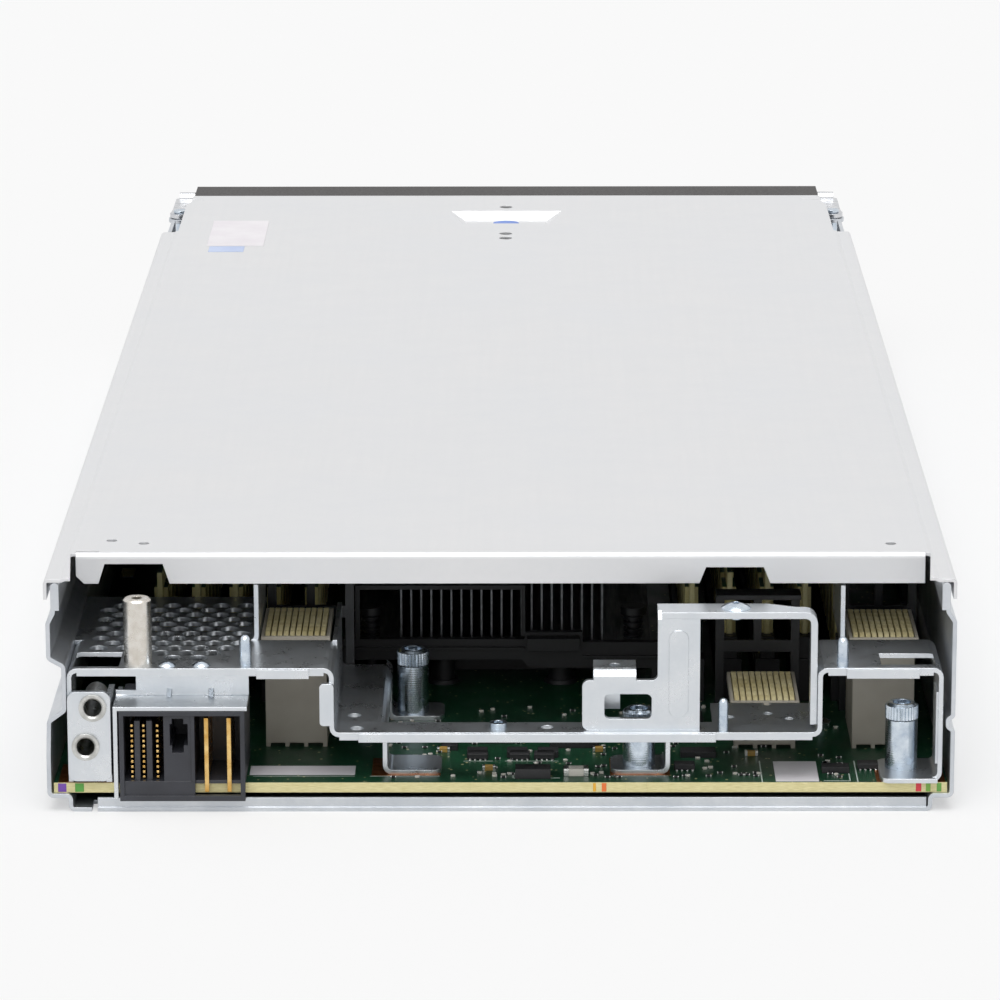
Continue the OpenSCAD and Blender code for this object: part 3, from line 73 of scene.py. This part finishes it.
# camera above the connector end, looking along the body
view = {
    "place": (0.005915, -1.43801, 0.381228),
    "turn": (75.68746, 0.11498, 0.25202),  # degrees about x, y, z
    "lens": 187.753,                       # millimetres on a 36 mm sensor
}
bpy.ops.object.camera_add(location=view["place"], rotation=[math.radians(a) for a in view["turn"]])
camera = bpy.context.object
camera.name = "camera"
camera.data.lens = view["lens"]
camera.data.sensor_width = 36
camera.data.clip_start = 0.05
camera.data.clip_end = 60
bpy.context.scene.camera = camera
bpy.context.scene.view_settings.view_transform = "Standard"


def toLinear(code):  # sRGB hex to the linear colour that sockets take
    def channel(i):
        c = int(code[i:i + 2], 16) / 255
        return c / 12.92 if c <= 0.04045 else ((c + 0.055) / 1.055) ** 2.4
    return (channel(1), channel(3), channel(5), 1.0)


def addNode(tree, kind, inputs=None, **settings):
    node = tree.nodes.new("ShaderNode" + kind)
    for name, value in settings.items():
        setattr(node, name, value)
    for name, value in (inputs or {}).items():
        socket = node.inputs[name]
        if isinstance(value, bpy.types.NodeSocket):
            tree.links.new(value, socket)
        else:
            socket.default_value = value
    return node


def newMaterial(name, **fixed):  # fixed values stand on the shader's own sockets
    material = bpy.data.materials.new(name)
    material.use_nodes = True
    tree = material.node_tree
    shader = tree.nodes["Principled BSDF"]
    for key, value in fixed.items():
        shader.inputs[key].default_value = value
    return material, tree, shader


def objectPlace(tree, stretch=(1, 1, 1)):  # Object coordinates in millimetres, stretched along the grain
    coordinates = addNode(tree, "TexCoord")
    mapping = addNode(tree, "Mapping", {"Vector": coordinates.outputs["Object"]})
    mapping.inputs["Scale"].default_value = [1000 * s for s in stretch]
    return mapping.outputs["Vector"]


def noise(tree, place, size, detail=2.0, rough=0.5):  # size is one cloud's width in millimetres
    node = addNode(tree, "TexNoise", {"Vector": place, "Scale": 1 / size, "Detail": detail, "Roughness": rough})
    return node.outputs["Fac"]


def spread(tree, value, low, high, fromLow=0.3, fromHigh=0.7):  # a pattern's middle range onto new limits
    node = addNode(tree, "MapRange", {"Value": value, "From Min": fromLow, "From Max": fromHigh,
                                      "To Min": low, "To Max": high})
    return node.outputs["Result"]


def blendColour(tree, factor, first, second, kind="MIX"):
    node = addNode(tree, "Mix", data_type="RGBA", blend_type=kind)
    for socket, value in ((node.inputs["Factor"], factor), (node.inputs[6], first), (node.inputs[7], second)):
        if isinstance(value, bpy.types.NodeSocket):
            tree.links.new(value, socket)
        else:
            socket.default_value = value
    return node.outputs[2]


def finish(tree, shader, colour=None, roughness=None, bump=None, height=0.05):
    if colour is not None:
        tree.links.new(colour, shader.inputs["Base Color"])
    if roughness is not None:
        tree.links.new(roughness, shader.inputs["Roughness"])
    rounded = addNode(tree, "Bevel", {"Radius": 0.00025}, samples=4)  # a broken edge catches a thin line of light
    if bump is not None:
        node = addNode(tree, "Bump", {"Height": bump, "Distance": height / 1000, "Strength": 1.0,
                                      "Normal": rounded.outputs["Normal"]})
        rounded = node
    tree.links.new(rounded.outputs["Normal"], shader.inputs["Normal"])


# hot-dip galvanised steel: soft grey clouds in the zinc, fine rolling streaks, satin shine
def makeGalvanised(name, pale, dark, metallic, rough, cloud, streak):
    material, tree, shader = newMaterial(name, Metallic=metallic)
    place = objectPlace(tree)
    clouds = noise(tree, place, cloud, 5.0, 0.55)
    grains = noise(tree, place, 1.1, 2.0)
    streaks = noise(tree, objectPlace(tree, (1, 0.03, 1)), streak, 3.0)
    colour = blendColour(tree, spread(tree, clouds, 0, 1), toLinear(pale), toLinear(dark))
    colour = blendColour(tree, spread(tree, streaks, 0, 0.35), colour, toLinear(dark))
    shine = addNode(tree, "Math", {0: spread(tree, clouds, rough - 0.05, rough + 0.06),
                                   1: spread(tree, grains, -0.02, 0.03)}, operation="ADD")
    finish(tree, shader, colour, shine.outputs[0], grains, 0.01)
    return material


# pale and dark colour, metallic, roughness, width of a cloud and of a streak in millimetres
galvanisedCover = makeGalvanised("galvanisedCover", "#E7E7E8", "#E0E1E3", 0.6, 0.45, 40, 1.8)
galvanisedTray = makeGalvanised("galvanisedTray", "#DCDFE3", "#C3C8CE", 0.9, 0.36, 12, 1.2)
galvanisedBracket = makeGalvanised("galvanisedBracket", "#E1E4E7", "#D3D8DD", 0.95, 0.3, 9, 1.0)


# zinc-plated turned steel: bluish bright plate over fine lathe rings
def makePlated(name, pale, dark, rough):
    material, tree, shader = newMaterial(name, Metallic=1.0)
    place = objectPlace(tree)
    tint = noise(tree, place, 2.5, 3.0)
    rings = addNode(tree, "TexWave", {"Vector": place, "Scale": 0.55, "Distortion": 0.6},
                    bands_direction="Z")
    finish(tree, shader, blendColour(tree, spread(tree, tint, 0, 1), toLinear(pale), toLinear(dark)),
           spread(tree, tint, rough - 0.05, rough + 0.1), rings.outputs["Fac"], 0.006)
    return material


zincPlated = makePlated("zincPlated", "#DDE6EE", "#B9C6D4", 0.2)
nickelPlated = makePlated("nickelPlated", "#E4E0D9", "#D0CAC0", 0.24)
turnedSteel = makePlated("turnedSteel", "#D8D8D5", "#B3B3AF", 0.3)
goldPlated = makePlated("goldPlated", "#F2CF8C", "#C99A4C", 0.25)
platedLever = makePlated("platedLever", "#E0E1E3", "#C6C8CC", 0.28)


# moulded plastic: even colour, faint flow clouds, fine spark-eroded grain
def makeMoulded(name, main, shade, rough, grain=0.5, height=0.012):
    material, tree, shader = newMaterial(name, IOR=1.5)
    place = objectPlace(tree)
    flow = noise(tree, place, 9, 3.0)
    texture = noise(tree, place, grain, 2.0)
    finish(tree, shader, blendColour(tree, spread(tree, flow, 0, 1), toLinear(main), toLinear(shade)),
           spread(tree, texture, rough - 0.06, rough + 0.08), texture, height)
    return material


powerPlastic = makeMoulded("glassFilledNylonBlack", "#3A3C43", "#2F3036", 0.4)
connectorResin = makeMoulded("liquidCrystalPolymer", "#C3BDB0", "#B7B0A2", 0.5)
contactWafer = makeMoulded("contactWaferResin", "#E2D6A8", "#CDBE88", 0.45)
bezelPlastic = makeMoulded("bezelAbs", "#2B2827", "#242120", 0.5, 0.7, 0.02)
gripPlastic = makeMoulded("gripNylon", "#2A2A2C", "#232325", 0.5)
socketPlastic = makeMoulded("socketResinBlack", "#1D1D20", "#161618", 0.5)
chipEpoxy = makeMoulded("chipEpoxy", "#2B2B2D", "#212123", 0.55, 0.3)
buttonPlastic = makeMoulded("buttonPolycarbonate", "#D2D4D6", "#C4C6C9", 0.35)
lightPipe = makeMoulded("lightPipeAcrylic", "#86E3A4", "#69C98A", 0.25)
touchPrint = makeMoulded("touchPrint", "#7E9BE0", "#6C8AD2", 0.5)
stickerFilm = makeMoulded("stickerFilm", "#F1EEF0", "#E7E2E6", 0.45, 0.8, 0.004)


# powder-coated and black-oxide sheet; on the card frames the near-black is painted shade for the dark inside of the
# chassis
def makeCoated(name, main, shade, rough):
    material, tree, shader = newMaterial(name, IOR=1.5)
    place = objectPlace(tree)
    peel = noise(tree, place, 0.8, 2.0)
    worn = noise(tree, place, 6, 4.0)
    finish(tree, shader, blendColour(tree, spread(tree, worn, 0, 1), toLinear(main), toLinear(shade)),
           spread(tree, worn, rough - 0.05, rough + 0.1), peel, 0.02)
    return material


# near-black sheet, also used as painted shade: the card frames take it because they stand in the dark inside of the
# chassis
darkSheetAndPaintedShade = makeCoated("darkSheetAndPaintedShade", "#1B1C1F", "#131417", 0.4)
blackGrille = makeCoated("blackGrille", "#1B1B1C", "#232325", 0.45)


# extruded and stamped aluminium: pale, drawn along the fins
def makeAluminium(name, pale, dark, rough):
    material, tree, shader = newMaterial(name, Metallic=1.0)
    lines = noise(tree, objectPlace(tree, (1, 0.05, 1)), 0.7, 3.0)
    finish(tree, shader, blendColour(tree, spread(tree, lines, 0, 1), toLinear(pale), toLinear(dark)),
           spread(tree, lines, rough - 0.05, rough + 0.1), lines, 0.01)
    return material


finAluminium = makeAluminium("finAluminium", "#8B8D90", "#707275", 0.45)
driveAluminium = makeAluminium("driveAluminium", "#C5C7CA", "#A9ABAF", 0.4)


# glass-fibre laminate: dark green solder mask over copper runs, pale yellow sawn edge
def makeBoard(name, mask, copper, edge):
    material, tree, shader = newMaterial(name, IOR=1.5)
    place = objectPlace(tree)
    cells = addNode(tree, "TexBrick", {"Vector": place, "Scale": 1.0, "Mortar Size": 0.16, "Mortar Smooth": 0.2,
                                       "Brick Width": 5.3, "Row Height": 0.9, "Bias": 0.0},
                    offset=0.37, squash=1.4, squash_frequency=3)
    regions = noise(tree, place, 7, 2.0)
    runs = addNode(tree, "Math", {0: cells.outputs["Fac"], 1: spread(tree, regions, 0.15, 1.0)}, operation="MULTIPLY")
    colour = blendColour(tree, runs.outputs[0], toLinear(mask), toLinear(copper))
    pads = addNode(tree, "TexVoronoi", {"Vector": place, "Scale": 0.42, "Randomness": 0.85})
    dots = spread(tree, pads.outputs["Distance"], 1.0, 0.0, 0.13, 0.17)
    colour = blendColour(tree, dots, colour, toLinear("#B9B48A"))
    coordinates = addNode(tree, "TexCoord")
    parts = addNode(tree, "SeparateXYZ", {"Vector": coordinates.outputs["Normal"]})
    upright = addNode(tree, "Math", {0: parts.outputs["Z"]}, operation="ABSOLUTE")
    side = addNode(tree, "Math", {0: upright.outputs[0], 1: 0.5}, operation="LESS_THAN")
    fibres = noise(tree, objectPlace(tree, (0.3, 0.3, 6)), 0.6, 2.0)
    sawn = blendColour(tree, spread(tree, fibres, 0, 1), toLinear(edge), toLinear("#D3C98C"))
    colour = blendColour(tree, side.outputs[0], colour, sawn)
    finish(tree, shader, colour, spread(tree, regions, 0.28, 0.42), cells.outputs["Fac"], 0.02)
    return material


solderMask = makeBoard("solderMaskLaminate", "#123A26", "#1E5A3A", "#EFE6B4")
moduleMask = makeBoard("memoryLaminate", "#14452C", "#1F6A43", "#DDD59E")

finishes = {
    galvanisedCover: ["top_cover"],
    galvanisedTray: ["chassis_tray", "front_frame", "drive_cage"],
    galvanisedBracket: ["rear_bracket", "strap_bracket", "guide_socket_plate", "power_bracket"],
    zincPlated: ["thumbscrew_left", "thumbscrew_middle", "thumbscrew_right", "thumbscrew_sleeves",
                 "bracket_fasteners", "board_screws", "locating_pins", "lever_pins"],
    nickelPlated: ["tall_standoff", "processors", "coin_cell"],
    turnedSteel: ["guide_bushings", "front_ports", "drive_tray_lower", "drive_tray_upper"],
    goldPlated: ["power_signal_pins", "power_blades"],
    platedLever: ["lever_left_arm", "lever_right_arm"],
    powerPlastic: ["power_housing"],
    connectorResin: ["io_connector_left", "io_connector_middle", "io_connector_right"],
    contactWafer: ["io_contacts"],
    bezelPlastic: ["front_bezel", "control_panel"],
    gripPlastic: ["lever_left_grip", "lever_right_grip", "tray_handle_lower", "tray_handle_upper"],
    socketPlastic: ["heat_sink_posts", "cpu_sockets", "air_baffle", "memory_sockets"],
    chipEpoxy: ["board_chips", "power_inductors"],
    # card frames: near-black here is painted shade, not their own colour
    darkSheetAndPaintedShade: ["card_frames", "chip_heat_sink", "heat_sink_screws"],
    blackGrille: ["bezel_grille"],
    finAluminium: ["heat_sink_rear", "heat_sink_front"],
    driveAluminium: ["drive_lower", "drive_upper"],
    solderMask: ["system_board", "drive_backplane"],
    moduleMask: ["memory_left", "memory_right"],
    buttonPlastic: ["power_button"],
    lightPipe: ["indicator_lights"],
    touchPrint: ["touch_point"],
}
for material, names in finishes.items():
    for name in names:
        nodes[name].data.materials.clear()
        nodes[name].data.materials.append(material)
print("materials on", sum(len(n) for n in finishes.values()), "nodes")

bpy.ops.object.select_all(action="DESELECT")


# small pieces on the board: places are millimetres from the middle and from the rear end
rear = cadBounds[0].y
chassis = nodes["system_board"]["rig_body"]
coverBody = nodes["top_cover"]["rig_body"]


def block(name, material, x, y, z, edge=0.0):  # spans in millimetres, y from the rear end, z above the rest plane
    spans = (x, y, z)
    middle = [sum(span) / 2000 for span in spans]
    bpy.ops.mesh.primitive_cube_add(size=0.001, location=(middle[0], middle[1] + rear, middle[2]))
    piece = bpy.context.object
    piece.name = name
    piece.scale = [span[1] - span[0] for span in spans]
    bpy.ops.object.transform_apply(location=True, rotation=True, scale=True)
    if edge:
        bpy.ops.object.modifier_add(type="BEVEL")
        piece.modifiers[0].width = edge / 1000
        piece.modifiers[0].segments = 2
        bpy.ops.object.modifier_apply(modifier=piece.modifiers[0].name)
    piece.data.materials.append(material)
    bpy.ops.object.select_all(action="DESELECT")
    return piece


def fuse(parts):
    bpy.ops.object.select_all(action="DESELECT")
    for part in parts:
        part.select_set(True)
    bpy.context.view_layer.objects.active = parts[0]
    if len(parts) > 1:
        bpy.ops.object.join()
    return bpy.context.object


def joinPieces(name, pieces, body):
    joined = fuse(pieces)
    joined.name = name
    bpy.ops.object.select_all(action="DESELECT")
    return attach(joined, body)


def copyPiece(model, x, y):  # a copy with its own mesh, moved by millimetres
    bpy.ops.object.select_all(action="DESELECT")
    model.select_set(True)
    bpy.context.view_layer.objects.active = model
    bpy.ops.object.duplicate(linked=False)
    bpy.ops.transform.translate(value=(x / 1000, y / 1000, 0))
    bpy.ops.object.transform_apply(location=True, rotation=True, scale=True)
    return bpy.context.object


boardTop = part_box("system_board")[1].z * 1000
tinned = makePlated("tinnedCopper", "#F2F2F0", "#DCDCD8", 0.25)
ceramic = makeMoulded("capacitorCeramic", "#EDE9E0", "#DFD9CC", 0.4)
tantalum = makeMoulded("tantalumMould", "#C9A45A", "#B8924A", 0.45)
legendInk = makeMoulded("legendInk", "#DDE8DF", "#CBD8CE", 0.6)
labelPaper = makeMoulded("labelPaper", "#F0EDF0", "#E8E3E8", 0.5, 0.8, 0.004)
labelBlue = makeMoulded("labelPaperBlue", "#C9D6F2", "#B9C8EA", 0.5, 0.8, 0.004)
copperPad = makePlated("copperPad", "#B4703A", "#8E5428", 0.4)


# a moulded package with tinned pins along both sides
pinSize = {"halfWidth": 0.22, "reach": 0.8, "height": 0.35, "standoff": 0.15}


def makePackage(name, halfX, halfY, height, pins):
    top = boardTop + height
    parts = [block(name, chipEpoxy, (-halfX, halfX), (-halfY, halfY), (boardTop + pinSize["standoff"], top), 0.15)]
    pitch = 2 * halfX / pins
    for i in range(pins):
        x = -halfX + pitch * (i + 0.5)
        for side in (-1, 1):
            y = sorted((side * halfY, side * (halfY + pinSize["reach"])))
            parts.append(block("pin", tinned, (x - pinSize["halfWidth"], x + pinSize["halfWidth"]), y,
                               (boardTop, boardTop + pinSize["height"]), 0.06))
    return fuse(parts)


def makeCapacitor(name, halfX, halfY, height, body):  # a small block with a metal cap at each end
    parts = [block(name, body, (-halfX * 0.6, halfX * 0.6), (-halfY * 0.92, halfY * 0.92),
                   (boardTop, boardTop + height * 0.95), 0.05)]
    for side in (-1, 1):
        x = sorted((side * halfX * 0.6, side * halfX))
        parts.append(block("cap", tinned, x, (-halfY, halfY), (boardTop, boardTop + height), 0.06))
    return fuse(parts)


boardParts = {
    "packages": [(-5.6, 21.6), (4.6, 21.6), (10.6, 21.6), (88.6, 13.5), (44.4, 13)],
    "wide": [(18.2, 8.4)],        # white ceramic block with metal ends
    "tantalum": [(-2.8, 12.2), (-14, 27.2), (24, 27.5), (61, 24)],
    "scatter": 150,               # how many resistors and small capacitors together
    "seed": 7,
}
package = makePackage("boardPackages", 2.5, 1.6, 1.6, 4)
wide = makeCapacitor("boardWideBlock", 3, 1.6, 1.9, ceramic)
yellow = makeCapacitor("boardTantalum", 1.6, 0.8, 1.2, tantalum)
tiny = makeCapacitor("boardResistors", 0.7, 0.4, 0.5, chipEpoxy)
pale = makeCapacitor("boardCapacitors", 0.6, 0.4, 0.6, ceramic)
joinPieces("boardPackages", [copyPiece(package, *p) for p in boardParts["packages"]], chassis)
joinPieces("boardWideBlock", [copyPiece(wide, *p) for p in boardParts["wide"]], chassis)
joinPieces("boardTantalum", [copyPiece(yellow, *p) for p in boardParts["tantalum"]], chassis)
draw = random.Random(boardParts["seed"])
# ground under the larger parts, the bracket's feet and the label: across from, to, along from, to
keepOff = [(-9, -2, 19, 24), (1, 14, 19, 24), (4, 13, 4, 11), (14, 22, 5, 11), (-34, -13, 7, 22),
           (26, 41, 7, 22), (62, 77, 0, 26), (40, 49, 9, 17), (84, 94, 9, 17)]
spots = {"tiny": [], "pale": []}
while len(spots["tiny"]) + len(spots["pale"]) < boardParts["scatter"]:
    x, y = draw.uniform(-30, 84), 5.5 + 60 * draw.random() ** 1.6
    if not any(a < x < b and c < y < d for a, b, c, d in keepOff):
        spots[draw.choice(("tiny", "pale"))].append((round(x * 1.4) / 1.4, round(y * 1.2) / 1.2))
joinPieces("boardResistors", [copyPiece(tiny, *p) for p in spots["tiny"]], chassis)
joinPieces("boardCapacitors", [copyPiece(pale, *p) for p in spots["pale"]], chassis)
for model in (package, wide, yellow, tiny, pale):
    bpy.data.objects.remove(model)
print("board parts placed")

# legend lines, bare labels, copper round the feet, colour marks on the board's edge
ink = (boardTop, boardTop + 0.04)
paper = (boardTop, boardTop + 0.08)
foil = (boardTop, boardTop + 0.03)
legend = [block("legend", legendInk, x, y, ink) for x, y in (
    ((62.6, 62.9), (2.3, 19.3)), ((85.5, 85.8), (2.3, 19.3)), ((2.9, 3.2), (5.6, 10.4)), ((3.2, 14.3), (5.4, 5.7)),
    ((-9, -1.9), (19.2, 19.4)), ((1, 14), (19.2, 19.4)), ((-31.4, -14.6), (7, 7.25)), ((26.8, 40.4), (7, 7.25)),
    ((77.5, 84), (3, 3.3)), ((83.7, 84), (3, 9)), ((-59.5, -35), (7, 7.2)))]
joinPieces("boardLegend", legend, chassis)
joinPieces("boardLabels", [block("label", labelPaper, (66, 76.4), (2.6, 18.8), paper, 0.03),
                           block("label", labelPaper, (-60.4, -35), (8.1, 15.4), paper, 0.03)],
           chassis)
joinPieces("boardPads", [block("pad", copperPad, (90.1, 106.6), (2.2, 18.6), foil),
                         block("pad", copperPad, (-106, -92.6), (2.2, 17), foil),
                         block("pad", copperPad, (26.4, 40.8), (7.6, 21.8), foil),
                         block("pad", copperPad, (-31, -14.4), (7.6, 21.8), foil)], chassis)
edgeMarks = {"#7A4FB0": (-106, -104), "#5FA84A": (-101.9, -99.8), "#F0B63A": (22.2, 22.9), "#EE7A3A": (24.3, 25.4),
             "#E0404C": (99.5, 100.8), "#7FB24A": (101.9, 103), "#6CA84F": (104.5, 105.6)}
marks = []
for code, x in edgeMarks.items():
    colour = makeMoulded("edgeInk" + code[1:], code, code, 0.5)
    marks.append(block("mark", colour, x, (2.06, 2.12), (boardTop - 2.3, boardTop - 0.2)))
joinPieces("boardEdgeMarks", marks, chassis)
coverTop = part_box("top_cover")[1].z * 1000
joinPieces("coverLabels", [block("label", labelPaper, (-92.7, -75), (394, 434), (coverTop, coverTop + 0.08), 0.03),
                           block("label", labelBlue, (-91.7, -80.8), (385, 393.5), (coverTop, coverTop + 0.08), 0.03)],
           coverBody)
print("prints and labels placed")

# floor and light
stageSize = {
    "floor": 12,          # metres across
    "world": 0.34,        # level of the light from all round
    "overhead": 1.75,     # soft light from above
    "front": 0.55,        # soft light from behind the camera
}
bpy.ops.mesh.primitive_plane_add(size=stageSize["floor"], location=(0, 0, 0))
floor = bpy.context.object
floor.name = "floor"
material, tree, shader = newMaterial("floorPaper", Roughness=0.9)
shader.inputs["Base Color"].default_value = (0.9, 0.9, 0.9, 1)
shader.inputs["Specular IOR Level"].default_value = 0.0
lightPath = addNode(tree, "LightPath")
glow = addNode(tree, "Emission", {"Color": (1, 1, 1, 1), "Strength": 1.0})
share = addNode(tree, "Math", {0: lightPath.outputs["Is Camera Ray"], 1: 0.45}, operation="MULTIPLY")
mixed = addNode(tree, "MixShader", {0: share.outputs[0], 1: shader.outputs[0], 2: glow.outputs[0]})
tree.links.new(mixed.outputs[0], tree.nodes["Material Output"].inputs["Surface"])
floor.data.materials.append(material)

world = bpy.data.worlds.new("studio")
bpy.context.scene.world = world
world.use_nodes = True
tree = world.node_tree
lightPath = addNode(tree, "LightPath")
seen = addNode(tree, "Math", {0: lightPath.outputs["Is Camera Ray"], 1: lightPath.outputs["Is Transmission Ray"]},
               operation="MAXIMUM")
shiny = addNode(tree, "Math", {0: lightPath.outputs["Is Glossy Ray"], 1: 0.85}, operation="MULTIPLY")
both = addNode(tree, "Math", {0: seen.outputs[0], 1: shiny.outputs[0]}, operation="MAXIMUM")
level = addNode(tree, "Math", {0: both.outputs[0], 1: stageSize["world"]}, operation="MAXIMUM")
background = tree.nodes["Background"]
background.inputs["Color"].default_value = (1, 1, 1, 1)
tree.links.new(level.outputs[0], background.inputs["Strength"])

for name, turn, strength, angle in (("overheadLight", (12, 0, 0), stageSize["overhead"], 50),
                                    ("frontLight", (46, 0, -12), stageSize["front"], 40)):
    bpy.ops.object.light_add(type="SUN", rotation=[math.radians(a) for a in turn])
    lamp = bpy.context.object
    lamp.name = name
    lamp.data.energy = strength
    lamp.data.angle = math.radians(angle)
print("stage set")
